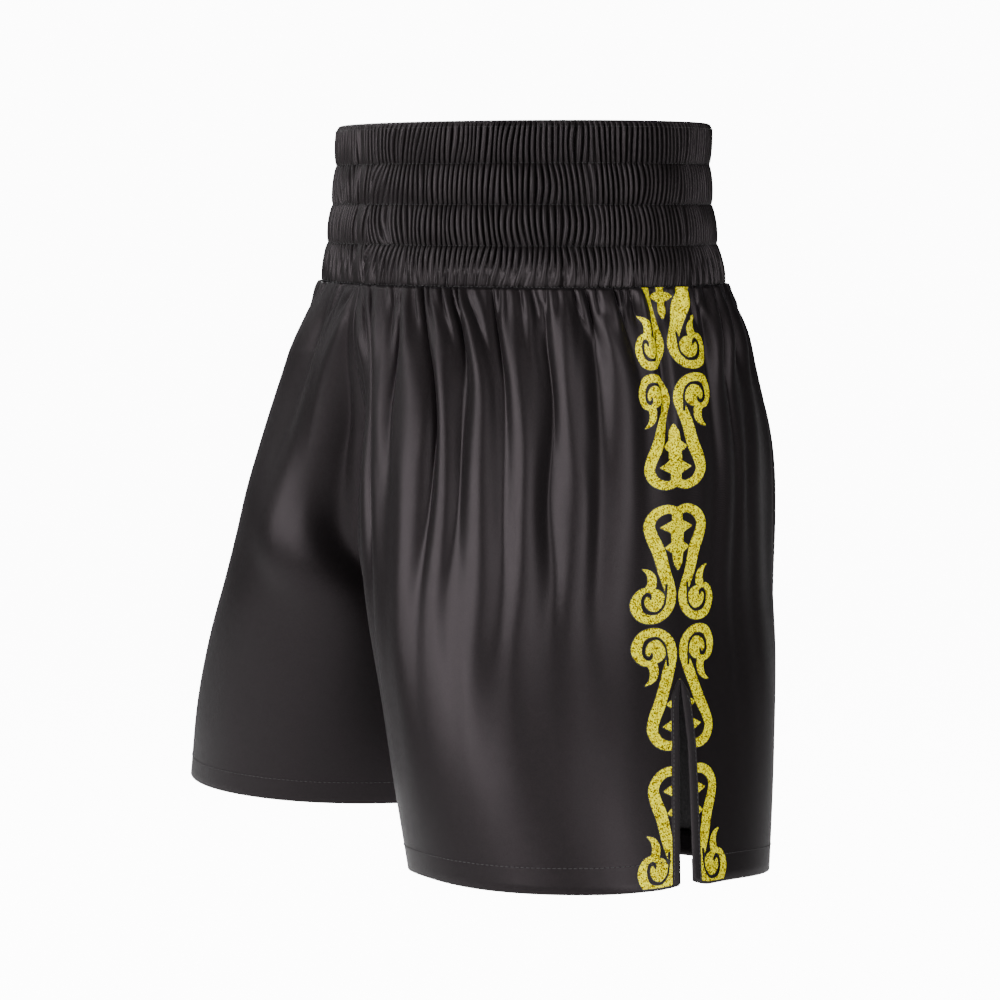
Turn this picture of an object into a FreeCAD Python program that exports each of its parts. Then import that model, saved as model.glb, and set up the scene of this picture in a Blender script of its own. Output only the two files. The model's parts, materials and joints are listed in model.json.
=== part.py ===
import FreeCAD, Part
import math
import os

# Boxing shorts: a shirred four-row elastic waistband over two satin leg panels with side slits.
# Millimetres. Origin at the centre of the waist opening, level with the waistband's top edge.
# +Z is up, the front faces -Y and the wearer's left leg is on +X; the right side mirrors the left.

V = FreeCAD.Vector

# Every driving dimension: alias, value, what it is.
SIZES = [
    ("cloth", 1.0, "satin panel, drawn thicker than the real 0.25"),
    ("half_gap", 0.3, "half the gap between the panels, which the centre seam fills"),
    ("seam_half", 0.28, "half the thickness of the centre seam"),
    ("allowance", 4.0, "depth of a seam allowance, cloth included"),
    ("row", 25.0, "height of one elastic row, a one-inch elastic"),
    ("rim_hx", 142.0, "half width of the waistband's top edge"),
    ("rim_hy", 110.0, "half depth of the waistband's top edge"),
    ("band_wall", 1.0, "thickness of each layer of the waistband casing"),
    ("tunnel", 2.0, "space between the casing's two layers"),
    ("tunnel_high", 22.5, "height of one elastic tunnel"),
    ("elastic_gap", 0.2, "play around an elastic in its tunnel"),
    ("thread", 0.8, "height of a stitched row"),
    ("stitch_wall", 0.3, "how far a stitched row stands out"),
    ("top_stitch", 3.0, "top stitching below the rim"),
    ("hem_stitch", 14.0, "hem stitching above the hem"),
    ("print_wall", 0.35, "thickness of the glitter print with its glue"),
    ("lift", 0.05, "clearance between layers that lie on each other"),
    ("binding", 6.5, "width of the slit binding"),
    ("binding_wall", 0.6, "thickness of the slit binding"),
    ("slit_high", 112.0, "height of the side slit above the hem"),
    ("slit_half", 4.0, "half the opening of the slit at the hem"),
    ("hinge_y", -36.0, "hinge line of the leg, front to back"),
    ("hinge_z", -300.0, "hinge line of the leg, at crotch level"),
    ("dome_x", 94.8, "half width of the dome that parts leg from hip"),
    ("dome_r", 157.0, "radius of that dome about the hinge line"),
    ("dome_gap", 0.4, "clearance around the dome"),
    ("side_y", -9.0, "side line, front to back, at seat level"),
    ("side_tilt", 8.2, "lean of the side line, in degrees"),
    ("motif_high", 70.0, "height of one scroll motif"),
    ("scroll_gap", 2.5, "gap between motifs where scrolls meet"),
    ("arch_gap", 7.8, "gap between motifs where arches meet"),
    ("first_low", -149.5, "height of the first motif's lower edge"),
]
# Rings of a leg tube, from the waist seam down: name, depth, centre x and y, half width, half depth.
RINGS = [
    ("waist", 100.0, 0.0, -1.0, 153.0, 121.0),
    ("belly", 150.0, 28.0, -2.0, 137.0, 132.0),
    ("seat", 200.0, 52.0, -7.0, 120.0, 139.0),
    ("hip", 250.0, 74.0, -14.0, 105.0, 141.0),
    ("crotch", 300.0, 93.2, -23.0, 94.0, 138.5),
    ("thigh", 370.0, 119.0, -35.0, 96.0, 127.0),
    ("hem", 447.0, 143.0, -45.0, 98.5, 111.0),
]
RING_FIELDS = ("depth", "cx", "cy", "hx", "hy")
# Scroll stroke of half a motif, arch to curl: side distance, height above the curl, half width.
SCROLL = [
    (0.0, 66.6, 2.6), (-7.1, 67.4, 2.6), (-14.4, 64.6, 3.0), (-18.3, 58.4, 3.5),
    (-16.9, 51.6, 3.8), (-12.7, 42.3, 4.0), (-9.2, 30.0, 3.8), (-6.0, 21.6, 3.6),
    (-4.3, 15.0, 3.3), (-6.1, 8.4, 3.0), (-11.3, 3.9, 2.6), (-17.7, 2.5, 2.5),
    (-24.0, 5.0, 2.8), (-26.9, 11.6, 3.1), (-24.2, 17.4, 3.0), (-18.6, 19.8, 2.6),
]
# Flame on the back of the curl.
FLAME = [(-19.4, 18.6, 2.6), (-17.4, 23.0, 2.9), (-17.9, 27.6, 2.2), (-22.0, 32.4, 0.25)]
# Stem between the scrolls, arch to tip: height and half width, with two leaf-shaped bars.
STEM = [
    (66.0, 3.4), (60.2, 3.4), (58.8, 6.5), (56.5, 11.2), (54.3, 6.5), (52.8, 4.2), (47.0, 4.0),
    (46.2, 5.6), (44.2, 8.4), (42.2, 5.6), (41.0, 3.6), (35.0, 2.8), (30.8, 0.3),
]
DISC = (-14.5, 13.0, 7.0, 6.1)

doc = FreeCAD.newDocument("BoxingShorts")
sheet = doc.addObject("Spreadsheet::Sheet", "Sizes")
nodes = {}


def fill_sheet():
    """Writes every driving dimension to the sheet as a plain number with an alias."""
    rows = list(SIZES)
    for name, *values in RINGS:
        rows += [(f"{name}_{f}", v, f"{name} ring {f}") for f, v in zip(RING_FIELDS, values)]
    for i, (alias, value, note) in enumerate(rows, 1):
        sheet.set(f"A{i}", note)
        sheet.set(f"B{i}", str(value))
        sheet.setAlias(f"B{i}", alias)
    doc.recompute()


def size(alias):
    """A driving dimension's value."""
    return float(sheet.get(alias))


def make(kind, name, links=None):
    """Adds an object and sets its links."""
    obj = doc.addObject(kind, name)
    for prop, value in (links or {}).items():
        setattr(obj, prop, value)
    return obj


def bind_place(obj, x="0", y="0", z="0"):
    """Binds an object's position to the sheet."""
    for axis, expression in zip("xyz", (x, y, z)):
        obj.setExpression(f"Placement.Base.{axis}", expression)
    return obj


def node(obj, name):
    """Names an object as one of the physical pieces."""
    obj.Label = name
    nodes[name] = obj
    return obj


def ellipse(name, hx, hy, offset):
    """An ellipse with sheet-bound half sizes; `wide` ones lie along X, the others along Y."""
    wide = size(hx) >= size(hy)
    long_side, short_side = (hx, hy) if wide else (hy, hx)
    turn = FreeCAD.Rotation(V(0, 0, 1), 0 if wide else 90)
    ring = make("Part::Ellipse", name, {"Placement": FreeCAD.Placement(V(), turn)})
    ring.setExpression("MajorRadius", f"Sizes.{long_side} + {offset}")
    ring.setExpression("MinorRadius", f"Sizes.{short_side} + {offset}")
    return ring


def tube(name, offset):
    """The left leg tube, waist seam to hem, at an offset from the cloth's outer face."""
    rings = []
    for ring_name, *_ in RINGS:
        ring = ellipse(f"{name}_{ring_name}", f"{ring_name}_hx", f"{ring_name}_hy", offset)
        r = f"Sizes.{ring_name}"
        rings.append(bind_place(ring, f"{r}_cx", f"{r}_cy", f"-{r}_depth"))
    return make("Part::Loft", name, {"Sections": rings, "Solid": True, "Ruled": False})


def band(name, offset):
    """The waistband's tapered body at an offset from its outer face."""
    top = ellipse(f"{name}_rim", "rim_hx", "rim_hy", offset)
    low = ellipse(f"{name}_foot", "waist_hx", "waist_hy", offset)
    bind_place(low, "0", "Sizes.waist_cy", "-Sizes.waist_depth")
    return make("Part::Loft", name, {"Sections": [top, low], "Solid": True, "Ruled": True})


def cut(name, base, tool):
    return make("Part::Cut", name, {"Base": base, "Tool": tool})


def common(name, *shapes):
    return make("Part::MultiCommon", name, {"Shapes": list(shapes)})


def fuse(name, *shapes):
    return make("Part::MultiFuse", name, {"Shapes": list(shapes)})


def box(name, x, y, z, length, width, height):
    """A box from sheet expressions: corner, then lengths along X, Y and Z."""
    block = make("Part::Box", name)
    block.setExpression("Length", length)
    block.setExpression("Width", width)
    block.setExpression("Height", height)
    return bind_place(block, x, y, z)


def slab(name, z, height):
    """A level slab wider than the garment, from height z up."""
    return box(name, "-300", "-300", z, "600", "600", height)


def mirrored(obj, name):
    """The other side's piece."""
    return node(make("Part::Mirroring", name, {"Source": obj, "Base": V(), "Normal": V(1, 0, 0)}), name)


def both_sides(obj, name):
    node(obj, "left_" + name)
    mirrored(obj, "right_" + name)


def waistband():
    """Casing with four tunnels, an elastic in each, and the stitched rows outside."""
    outer = band("band_outer", "0")
    inner = band("band_inner", "-(2 * Sizes.band_wall + Sizes.tunnel)")
    wall = cut("band_wall", outer, inner)
    tunnel_zone = cut(
        "tunnel_zone",
        band("tunnel_outer", "-Sizes.band_wall"),
        band("tunnel_inner", "-(Sizes.band_wall + Sizes.tunnel)"),
    )
    elastic_zone = cut(
        "elastic_zone",
        band("elastic_outer", "-(Sizes.band_wall + Sizes.elastic_gap)"),
        band("elastic_inner", "-(Sizes.band_wall + Sizes.tunnel - Sizes.elastic_gap)"),
    )
    spare = "(Sizes.row - Sizes.tunnel_high) / 2"
    tunnels = []
    for i in range(1, 5):
        level = f"-{i} * Sizes.row + {spare}"
        room = slab(f"tunnel_slab_{i}", level, "Sizes.tunnel_high")
        tunnels.append(common(f"tunnel_{i}", tunnel_zone, room))
        filling = slab(
            f"elastic_slab_{i}",
            f"{level} + Sizes.elastic_gap",
            "Sizes.tunnel_high - 2 * Sizes.elastic_gap",
        )
        node(common(f"elastic_{i}", elastic_zone, filling), f"elastic_row_{i}")
    node(cut("casing", wall, fuse("tunnels", *tunnels)), "waistband_casing")
    stitch_zone = cut(
        "stitch_zone",
        band("stitch_outer", "Sizes.lift + Sizes.stitch_wall"),
        band("stitch_inner", "Sizes.lift"),
    )
    rows = {"top_stitch_row": "-Sizes.top_stitch", "waist_seam": "-Sizes.waist_depth"}
    for i in range(1, 4):
        rows[f"channel_stitch_{i}"] = f"-{i} * Sizes.row - Sizes.thread / 2"
    for name, level in rows.items():
        height = slab(name + "_slab", level, "Sizes.thread")
        node(common(name + "_ring", stitch_zone, height), name)


def edge_points(spine):
    """Both edges of a stroke, from its spine points and half widths."""
    left, right = [], []
    for i, (x, y, half) in enumerate(spine):
        x0, y0, _ = spine[max(i - 1, 0)]
        x1, y1, _ = spine[min(i + 1, len(spine) - 1)]
        run = math.hypot(x1 - x0, y1 - y0)
        nx, ny = -(y1 - y0) / run, (x1 - x0) / run
        left.append(V(x + nx * half, y + ny * half, 0))
        right.append(V(x - nx * half, y - ny * half, 0))
    return left, right


def spline(points):
    curve = Part.BSplineCurve()
    curve.interpolate(points)
    return curve


def prism(name, curves):
    """Outline in the side plane, drawn as a sketch and run through the outer wall."""
    sketch = doc.addObject("Sketcher::SketchObject", name + "_outline")
    for curve in curves:
        sketch.addGeometry(curve, False)
    sketch.Placement = FreeCAD.Placement(V(120, 0, 0), FreeCAD.Rotation(V(1, 1, 1), 120))
    solid = make("Part::Extrusion", name, {"Base": sketch, "Solid": True, "LengthFwd": 160.0})
    solid.DirMode = "Custom"
    solid.Dir = V(1, 0, 0)
    return solid


def stroke(name, spine):
    """A stroke with smooth edges and straight ends."""
    left, right = edge_points(spine)
    ends = [Part.LineSegment(left[0], right[0]), Part.LineSegment(left[-1], right[-1])]
    return prism(name, [spline(left), spline(right), *ends])


def polygon(name, points):
    corners = [V(x, y, 0) for x, y in points]
    sides = zip(corners, corners[1:] + corners[:1])
    return prism(name, [Part.LineSegment(a, b) for a, b in sides])


def motif_tool():
    """One whole motif, arch up and curls down, as a prism along X."""
    cx, cy, tall, wide = DISC
    disc = prism("curl_disc", [Part.Ellipse(V(cx, cy + tall, 0), V(cx + wide, cy, 0), V(cx, cy, 0))])
    half = fuse("half_motif", stroke("scroll", SCROLL), stroke("flame", FLAME), disc)
    other = make("Part::Mirroring", "other_half", {"Source": half, "Base": V(), "Normal": V(0, 1, 0)})
    outline = [(-half_wide, up) for up, half_wide in STEM]
    outline += [(half_wide, up) for up, half_wide in reversed(STEM)]
    return fuse("motif", half, other, polygon("stem", outline))


def side_place(obj, level):
    """Sets a tool on the leaning side line, `level` being its height there as an expression."""
    tilt = FreeCAD.Rotation(V(1, 0, 0), -size("side_tilt"))
    obj.Placement = FreeCAD.Placement(V(), tilt)
    y = f"Sizes.side_y + (200 + ({level})) * tan(Sizes.side_tilt)"
    return bind_place(obj, "0", y, level)


def prints(leg_zone, dome, slit_zone):
    """Five motifs down each side; the slit and its binding part the last two."""
    skin = cut(
        "print_skin",
        tube("print_outer", "Sizes.lift + Sizes.print_wall"),
        tube("print_inner", "Sizes.lift"),
    )
    whole = motif_tool()
    flipped = make("Part::Mirroring", "flipped", {"Source": whole, "Base": V(), "Normal": V(0, 0, 1)})
    step = "(2 * Sizes.motif_high + Sizes.scroll_gap + Sizes.arch_gap)"
    scroll_low = ["Sizes.first_low", f"Sizes.first_low - {step}", f"Sizes.first_low - 2 * {step}"]
    tools = []
    for i in range(5):
        if i % 2 == 0:
            tool = make("Part::Compound", f"motif_tool_{i + 1}", {"Links": [whole]})
            level = scroll_low[i // 2]
        else:
            tool = make("Part::Compound", f"motif_tool_{i + 1}", {"Links": [flipped]})
            level = f"{scroll_low[i // 2]} - Sizes.scroll_gap"
        tools.append(side_place(tool, level))
    for i in (0, 1):
        raw = common(f"raw_motif_{i + 1}", skin, tools[i])
        both_sides(cut(f"motif_{i + 1}", raw, dome), f"motif_{i + 1}")
    both_sides(common("motif_3", skin, tools[2], leg_zone), "motif_3")
    for i in (3, 4):
        raw = common(f"raw_motif_{i + 1}", skin, tools[i])
        split = cut(f"split_motif_{i + 1}", raw, slit_zone)
        if i == 4:
            foot = "-Sizes.hem_depth + Sizes.hem_stitch - Sizes.lift"
            groove = box("stitch_groove", "0", "-300", foot, "300", "600", "Sizes.thread + 2 * Sizes.lift")
            split = cut("stitched_motif_5", split, groove)
        for side, edge in (("front", -80), ("back", 80)):
            corners = [(0, -20), (edge, -20), (edge, 160), (0, 160)]
            half = side_place(polygon(f"{side}_side_{i}", corners), "-Sizes.hem_depth")
            both_sides(common(f"motif_{i + 1}_{side}_part", split, half), f"motif_{i + 1}_{side}")


def dome(name, gap):
    """The dome about the hinge line that parts leg from hip."""
    shape = make("Part::Ellipsoid", name)
    shape.setExpression("Radius1", f"Sizes.dome_r + {gap}")
    shape.setExpression("Radius2", f"Sizes.dome_x + {gap}")
    shape.setExpression("Radius3", f"Sizes.dome_r + {gap}")
    return bind_place(shape, "Sizes.crotch_cx", "Sizes.hinge_y", "Sizes.hinge_z")


def slit_band(name, inner, outer, side):
    """A band along the slit, from `inner` to `outer` beyond the cloth's edge, on one side."""
    top, foot = size("slit_high"), -12.0
    near, far = max(0.4 + inner, 0.05), 0.4 + outer
    low_near, low_far = size("slit_half") + inner, size("slit_half") + outer
    outline = [(side * near, top), (side * far, top), (side * low_far, foot), (side * low_near, foot)]
    return side_place(polygon(name, outline), "-Sizes.hem_depth")


def slit_wedge(name, grow):
    """The whole slit, grown by `grow` on each side and at its top."""
    top, foot = size("slit_high") + max(grow, 0.0), -12.0
    near, far = 0.4 + grow, size("slit_half") + grow
    outline = [(-near, top), (near, top), (far, foot), (-far, foot)]
    return side_place(polygon(name, outline), "-Sizes.hem_depth")


def panels():
    """Both leg panels, each parted by the dome into a hip part and a leg part."""
    shell = cut("leg_shell", tube("leg_outer", "0"), tube("leg_inner", "-Sizes.cloth"))
    half = box("left_half", "Sizes.half_gap", "-300", "-500", "300", "600", "400")
    left = common("left_shell", shell, half)
    above = box("above_hinge", "-10", "-300", "Sizes.hinge_z", "310", "600", "300")
    below = box("below_hinge", "-10", "-300", "-500", "310", "600", "500 + Sizes.hinge_z - Sizes.dome_gap")
    hip_zone = common("hip_zone", left, above)
    both_sides(cut("hip_panel", hip_zone, dome("hip_dome", "Sizes.dome_gap")), "hip_panel")
    upper = box("leg_dome_box", "-10", "-300", "Sizes.hinge_z - 1", "310", "600", "300")
    leg_dome = common("leg_dome", dome("leg_dome_body", "0"), upper)
    leg_zone = fuse("leg_zone", leg_dome, below)
    leg = common("leg_part", left, leg_zone)
    both_sides(cut("leg_panel", leg, slit_wedge("slit", 0.0)), "leg_panel")
    return leg_zone


def seams():
    """Centre seam front and back, and the inner leg seams: allowances standing inside."""
    fold = cut("seam_fold", tube("seam_outer", "0"), tube("seam_inner", "-Sizes.allowance"))
    for side, y, deep in (("front", "-300", "300 + Sizes.crotch_cy"), ("back", "Sizes.crotch_cy", "300")):
        plate = box(f"centre_plate_{side}", "-Sizes.seam_half", y, "-330", "2 * Sizes.seam_half", deep, "230")
        node(common(f"centre_{side}", fold, plate), f"centre_seam_{side}")
    inside = cut(
        "inseam_fold",
        tube("inseam_outer", "-(Sizes.cloth + Sizes.lift)"),
        tube("inseam_inner", "-Sizes.allowance"),
    )
    plate = box("inseam_plate", "0", "0", "0", "130", "2 * Sizes.seam_half", "130")
    side_place(plate, "-Sizes.hem_depth")
    both_sides(common("inner_leg_seam", inside, plate), "inseam")


def edges(leg_zone):
    """Slit bindings folded round the cloth's edges, and the hem's stitch line on each side."""
    cover = cut(
        "binding_cover",
        tube("binding_outer", "Sizes.lift + Sizes.binding_wall"),
        tube("binding_inner", "-(Sizes.cloth + Sizes.lift + Sizes.binding_wall)"),
    )
    room = cut(
        "cloth_room",
        tube("room_outer", "Sizes.lift"),
        tube("room_inner", "-(Sizes.cloth + Sizes.lift)"),
    )
    cloth_room = cut("bound_cloth", room, slit_wedge("slit_clear", -size("lift")))
    wall, wide = size("binding_wall"), size("binding")
    trunk = box("hem_up", "0", "-300", "-Sizes.hem_depth", "300", "600", "200")
    for side, sign in (("front", -1), ("back", 1)):
        strip = slit_band(f"strip_{side}", -wall, wide, sign)
        sleeve = common(f"sleeve_{side}", cover, strip, trunk)
        both_sides(cut(f"binding_{side}", sleeve, cloth_room), f"slit_binding_{side}")
    skin = cut(
        "hem_skin",
        tube("hem_skin_outer", "Sizes.lift + Sizes.stitch_wall"),
        tube("hem_skin_inner", "Sizes.lift"),
    )
    line = box("hem_line", "0", "-300", "-Sizes.hem_depth + Sizes.hem_stitch", "300", "600", "Sizes.thread")
    ring = cut("hem_ring", common("hem_loop", skin, line), slit_wedge("hem_slit", wide + 0.2))
    for side, y, deep in (("front", "-300", "300 + Sizes.hem_cy"), ("back", "Sizes.hem_cy", "300")):
        half = box(f"hem_{side}", "0", y, "-460", "300", deep, "60")
        both_sides(common(f"hem_stitch_{side}", ring, half), f"hem_stitch_{side}")


def check_and_export():
    """Stops on any object in error, then writes every piece to its own STEP file."""
    doc.recompute()
    for obj in doc.Objects:
        if "Invalid" in obj.State or "Error" in obj.State:
            raise RuntimeError(f"{obj.Label}: {obj.State}")
    os.makedirs("parts", exist_ok=True)
    for name, obj in nodes.items():
        shape = obj.Shape
        if shape.isNull() or not shape.isValid() or not shape.Solids:
            raise RuntimeError(f"{name} has no valid solid")
        shape.exportStep(f"parts/{name}.step")
        print(f"{name}: {len(shape.Solids)} solid(s), {shape.Volume:.0f} mm3")


fill_sheet()
waistband()
leg_zone = panels()
seams()
edges(leg_zone)
prints(leg_zone, dome("print_dome", "Sizes.dome_gap"), slit_wedge("print_gap", size("binding") + 0.2))
check_and_export()
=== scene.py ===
import json
import math

import bpy
import numpy as np
from mathutils import Matrix


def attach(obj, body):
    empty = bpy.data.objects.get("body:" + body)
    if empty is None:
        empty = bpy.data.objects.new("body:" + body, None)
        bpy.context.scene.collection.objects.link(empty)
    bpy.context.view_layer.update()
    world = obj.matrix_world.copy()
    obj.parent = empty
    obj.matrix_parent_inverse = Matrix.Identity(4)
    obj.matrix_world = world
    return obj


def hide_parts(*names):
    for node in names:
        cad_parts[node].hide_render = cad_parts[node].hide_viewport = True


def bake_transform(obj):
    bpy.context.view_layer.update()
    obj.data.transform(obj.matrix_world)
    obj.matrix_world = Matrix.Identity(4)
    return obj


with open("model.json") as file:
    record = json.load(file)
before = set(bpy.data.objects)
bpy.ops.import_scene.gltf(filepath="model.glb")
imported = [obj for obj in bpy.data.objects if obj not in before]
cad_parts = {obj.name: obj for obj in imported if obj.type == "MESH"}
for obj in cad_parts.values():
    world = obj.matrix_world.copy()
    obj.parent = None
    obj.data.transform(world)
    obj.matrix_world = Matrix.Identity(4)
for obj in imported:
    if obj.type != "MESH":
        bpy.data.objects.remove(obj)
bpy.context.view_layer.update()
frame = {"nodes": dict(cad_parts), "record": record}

SIDES = {"left": 1.0, "right": -1.0}

# ---------------------------------------------------------------- camera
AZIMUTH = math.radians(56.56)
PITCH = math.radians(5.95)
DISTANCE = 1.888
EYE_HEIGHT = -0.0466
EYE_SHIFT = -0.0138
LENS = 104.04

right = np.array([math.cos(AZIMUTH), math.sin(AZIMUTH), 0.0])
level = np.array([-math.sin(AZIMUTH), math.cos(AZIMUTH), 0.0])
up = np.array([0.0, 0.0, 1.0])
look = level * math.cos(PITCH) - up * math.sin(PITCH)
tip = level * math.sin(PITCH) + up * math.cos(PITCH)
eye = -level * DISTANCE + up * EYE_HEIGHT + right * EYE_SHIFT
camera = bpy.data.objects.new("camera", bpy.data.cameras.new("camera"))
camera.data.lens = LENS
camera.data.sensor_width = 36.0
camera.data.clip_end = 60.0
turn = Matrix((right, tip, -look)).transposed().to_4x4()
turn.translation = eye
camera.matrix_world = turn
bpy.context.scene.collection.objects.link(camera)
bpy.context.scene.camera = camera

# ---------------------------------------------------------------- base shape of a leg, from the CAD rings
RINGS = np.array(
    [  # height, centre x, centre y, half width, half depth
        (-0.100, 0.0000, -0.001, 0.1530, 0.1210),
        (-0.150, 0.0280, -0.002, 0.1370, 0.1320),
        (-0.200, 0.0520, -0.007, 0.1200, 0.1390),
        (-0.250, 0.0740, -0.014, 0.1050, 0.1410),
        (-0.300, 0.0932, -0.023, 0.0940, 0.1385),
        (-0.370, 0.1190, -0.035, 0.0960, 0.1270),
        (-0.447, 0.1430, -0.045, 0.0985, 0.1110),
    ]
)
WAIST, CROTCH, SLIT_TOP, HEM = -0.100, -0.300, -0.335, -0.447  # heights below the rim
OUTLINE_STEPS = 720


def spline(x, xs, ys):
    """Smooth interpolation through points, with xs increasing."""
    x = np.clip(x, xs[0], xs[-1])
    slope = np.gradient(ys, xs, axis=0)
    i = np.clip(np.searchsorted(xs, x) - 1, 0, len(xs) - 2)
    h = xs[i + 1] - xs[i]
    t = (x - xs[i]) / h
    a, b = ys[i], ys[i + 1]
    ma, mb = slope[i] * h, slope[i + 1] * h
    return (
        (2 * t**3 - 3 * t**2 + 1) * a
        + (t**3 - 2 * t**2 + t) * ma
        + (3 * t**2 - 2 * t**3) * b
        + (t**3 - t**2) * mb
    )


FINE_Z = np.linspace(HEM, WAIST, 348)


def eased(values, reach=24):
    """A run of values with its bends softened and its ends kept."""
    line = np.linspace(values[0], values[-1], len(values))
    rest = values - line
    rest = np.concatenate([-rest[reach * 3:0:-1], rest, -rest[-2:-reach * 3 - 2:-1]])
    weight = np.exp(-0.5 * (np.arange(-reach * 3, reach * 3 + 1) / reach) ** 2)
    return line + np.convolve(rest, weight / weight.sum(), mode="valid")


FINE_RINGS = [eased(spline(FINE_Z, RINGS[::-1, 0], RINGS[::-1, k])) for k in (1, 2, 3, 4)]


def ring(z):
    """Centre x, centre y, half width and half depth of the leg at a height."""
    return [np.interp(z, FINE_Z, values) for values in FINE_RINGS]


def smooth(x, low, high):
    """0 under low, 1 over high, eased between."""
    t = np.clip((x - low) / (high - low), 0.0, 1.0)
    return t * t * (3 - 2 * t)


def noise2(x, y, seed):
    """Smooth value noise in -1 to 1."""
    grid = np.random.default_rng(seed).uniform(-1, 1, (64, 64))
    xi, yi = np.floor(x).astype(int), np.floor(y).astype(int)
    fx, fy = x - xi, y - yi
    fx, fy = fx * fx * (3 - 2 * fx), fy * fy * (3 - 2 * fy)
    a = grid[xi % 64, yi % 64]
    b = grid[(xi + 1) % 64, yi % 64]
    c = grid[xi % 64, (yi + 1) % 64]
    d = grid[(xi + 1) % 64, (yi + 1) % 64]
    return (a * (1 - fx) + b * fx) * (1 - fy) + (c * (1 - fx) + d * fx) * fy


def half_lengths(z):
    """Half the outline's length from seam to seam round the outside, its running length and its angles."""
    cx, cy, hx, hy = (v[:, None] for v in ring(z))
    first = -np.arcsin(np.clip(cx / hx, 0.0, 1.0))
    angle = first + (math.pi - 2 * first) * np.linspace(0.0, 1.0, OUTLINE_STEPS + 1)[None, :]
    step = np.hypot(hx * np.cos(angle), hy * np.sin(angle)) * (math.pi - 2 * first) / OUTLINE_STEPS
    mean_step = (step[:, 1:] + step[:, :-1]) / 2
    run = np.concatenate([np.zeros((len(z), 1)), np.cumsum(mean_step, axis=1)], axis=1)
    return run[:, -1] / 2, run, angle


FINE_HALF = half_lengths(FINE_Z)[0]
EASY_HALF = eased(FINE_HALF, 22)  # without the kink where the legs part
SEAM_CROWDING = 7  # the power that keeps the crowding of columns near the seams


def reach_at(t, z):
    """Distance behind the side line of columns t from -1 to 1; the columns crowd only near the seams."""
    half, easy = np.interp(z, FINE_Z, FINE_HALF), np.interp(z, FINE_Z, EASY_HALF)
    return np.sign(t) * (easy * np.abs(t) + (half - easy) * np.abs(t) ** SEAM_CROWDING)


def base_rows(z, t):
    """Base points, outward normals and distances behind the side line: a row per z, a column per t.

    It is the left leg, with t from -1 at the front seam (or inner leg seam) round the outside to 1."""
    cx, cy, hx, hy = (v[:, None] for v in ring(z))
    half, run, angle = half_lengths(z)
    reach = reach_at(t[None, :], z[:, None])
    theta = np.stack([np.interp(reach[i] + half[i], run[i], angle[i]) for i in range(len(z))])
    height = np.broadcast_to(z[:, None], theta.shape)
    point = np.stack([cx + hx * np.sin(theta), cy - hy * np.cos(theta), height], axis=-1)
    normal = np.stack([np.sin(theta) / hx, -np.cos(theta) / hy, np.zeros_like(theta)], axis=-1)
    normal /= np.linalg.norm(normal, axis=-1, keepdims=True)
    return point, normal, reach


# ---------------------------------------------------------------- panel cloth
COLS = 421
MID = COLS // 2
T = np.linspace(-1.0, 1.0, COLS)
top_rows = WAIST - np.concatenate([np.arange(0, 0.045, 0.0017), np.arange(0.045, 0.12, 0.0024)])
low_rows = np.linspace(top_rows[-1] - 0.003, HEM, 50)
ROWS_Z = np.concatenate([top_rows, low_rows])

# Crests of the main folds on each panel's front: distances behind the side line, so all are negative.
FRONT_CRESTS = {
    "left": [-0.214, -0.193, -0.166, -0.143, -0.118, -0.094, -0.060, -0.032],
    "right": [-0.204, -0.160, -0.112, -0.077, -0.049, -0.024],
}
FOLD_SEEDS = {"left": 11, "right": 47}
CRESTS_END = 0.34  # random crests go on to here on both sides


def crest_index(xi, side, seed):
    """Which fold a place belongs to: whole numbers on the crests."""
    rng = np.random.default_rng(seed)
    crests = list(FRONT_CRESTS[side])
    while crests[-1] < CRESTS_END:
        crests.append(crests[-1] + rng.uniform(0.021, 0.034))
    while crests[0] > -CRESTS_END:
        crests.insert(0, crests[0] - rng.uniform(0.02, 0.03))
    return np.interp(xi, crests, np.arange(len(crests)))


def seam_drift(z, xi):
    """Keeps the front folds of a leg beside the centre seam where the leg widens below them."""
    wider = np.clip((np.interp(z, FINE_Z, EASY_HALF) - FINE_HALF[-1]) / 0.135, 0.0, 1.0)
    return 0.13 * wider[:, None] * np.clip((-xi - 0.08) / 0.27, 0.0, 1.0) ** 1.5


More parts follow.
